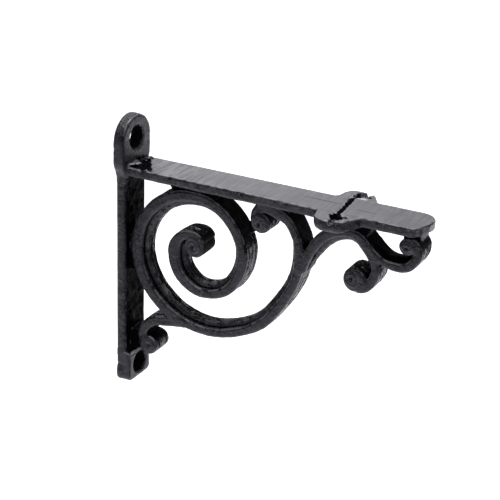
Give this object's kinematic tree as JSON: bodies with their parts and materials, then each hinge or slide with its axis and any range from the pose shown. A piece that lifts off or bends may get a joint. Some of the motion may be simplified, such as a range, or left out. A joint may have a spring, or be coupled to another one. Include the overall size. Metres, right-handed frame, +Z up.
{
  "type": "shelf bracket",
  "caption": "Black painted cast iron shelf bracket: a flat arm on a wall plate, braced by a large spiral scroll with smaller curls; it screws to a wall and carries a shelf.",
  "frame": {"origin": "point on the flat wall face, level with the top of the arm and in the middle of the casting's width", "axes": "+X out from the wall along the arm, +Y across the bracket, +Z up"},
  "size_m": [0.1754, 0.0472, 0.1549],
  "materials": {
    "black_painted_iron": "semi-gloss black paint over rough sand-cast iron, thinner and greyer on the ground top of the arm"
  },
  "bodies": {
    "root": {"bracket": "black_painted_iron"}
  },
  "joints": []
}
